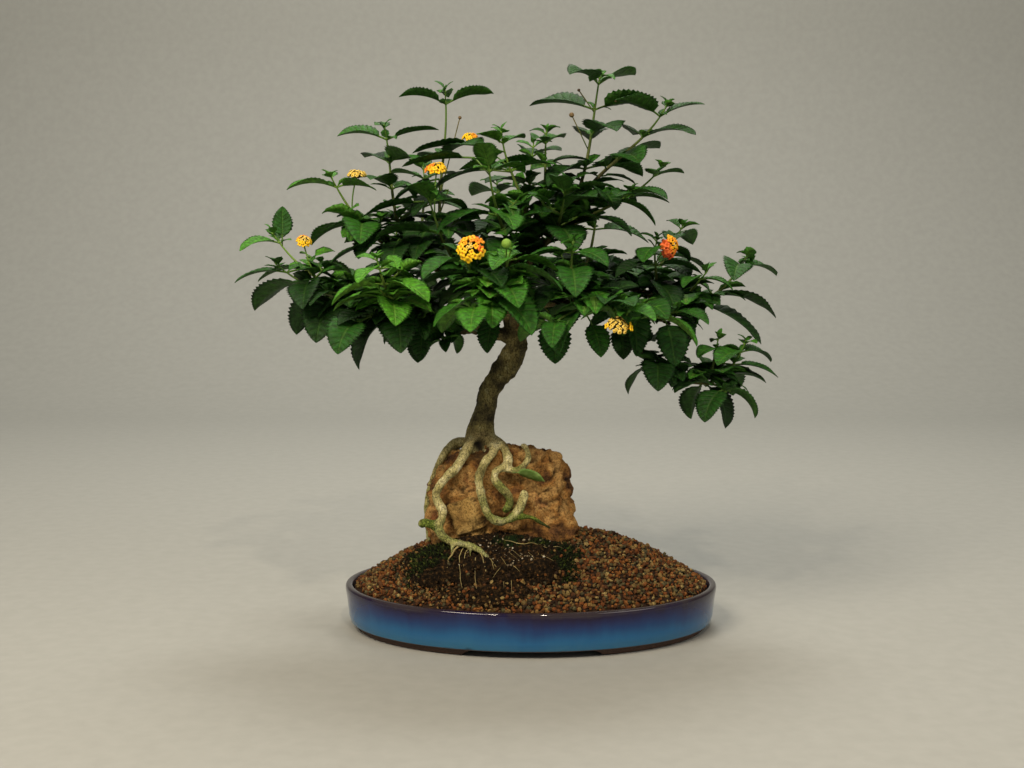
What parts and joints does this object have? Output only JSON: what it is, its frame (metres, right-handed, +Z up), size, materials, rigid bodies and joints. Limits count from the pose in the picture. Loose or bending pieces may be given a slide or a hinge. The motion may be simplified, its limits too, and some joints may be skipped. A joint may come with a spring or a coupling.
{
  "type": "lantana bonsai",
  "caption": "Flowering root-over-rock bonsai with a leaning trunk and a wide leafy crown, planted in a shallow oval glazed tray.",
  "frame": {"origin": "middle of the bounding box at the height of the surface that the tray stands on", "axes": "+Z up, +X to the right seen from the front, +Y away from the viewer"},
  "size_m": [0.5296, 0.397, 0.5576],
  "materials": {
    "glaze": "glossy blue glaze over brown clay",
    "net": "moulded net",
    "gravel": "dry mixed grit",
    "peat": "damp fibrous peat",
    "rock": "weathered sandstone",
    "bark": "rough grey-brown bark",
    "leaf": "waxy living leaf",
    "petal": "thin matte petals"
  },
  "bodies": {
    "root": {"tray": "glaze", "drain_net_left": "net", "drain_net_right": "net", "gravel": "gravel", "peat": "peat", "rock": "rock", "trunk_and_roots": "bark", "fallen_leaf": "leaf", "shoot_top_right": "leaf", "shoot_top_far_right": "leaf", "shoot_upper_right": "leaf", "shoot_top_left": "leaf", "shoot_upper_left": "leaf", "shoot_left_rise": "leaf", "shoot_left_tip": "leaf", "shoot_left_reach": "leaf", "shoot_left_skirt": "leaf", "shoot_bright_front": "leaf", "shoot_hanging_front": "leaf", "shoot_left_curtain": "leaf", "shoot_small_rosette": "leaf", "shoot_front_low": "leaf", "shoot_bloom_front": "leaf", "shoot_bud_front": "leaf", "shoot_centre_left": "leaf", "shoot_centre_front": "leaf", "shoot_centre_high": "leaf", "shoot_centre_crown": "leaf", "shoot_centre_right": "leaf", "shoot_right_shoulder": "leaf", "shoot_right_bloom": "leaf", "shoot_right_spray": "leaf", "shoot_right_tip": "leaf", "shoot_right_skirt": "leaf", "shoot_right_hang": "leaf", "shoot_right_drop_up": "leaf", "shoot_right_drop_tip": "leaf", "shoot_right_drop_low": "leaf", "shoot_right_front": "leaf", "shoot_front_right_low": "leaf", "shoot_front_right_tip": "leaf", "shoot_front_right_up": "leaf", "shoot_back_left_low": "leaf", "shoot_back_left_up": "leaf", "shoot_back_left_high": "leaf", "shoot_back_low": "leaf", "shoot_back_tip": "leaf", "shoot_back_up": "leaf", "shoot_back_high": "leaf", "shoot_back_right_tip": "leaf", "shoot_back_right_low": "leaf", "shoot_back_right_up": "leaf", "shoot_right_rear": "leaf", "flower_head_front": "petal", "flower_head_upper_left": "petal", "flower_head_left": "petal", "flower_head_far_left": "petal", "flower_head_top": "petal", "flower_head_right": "petal", "flower_head_low_right": "petal"}
  },
  "joints": []
}
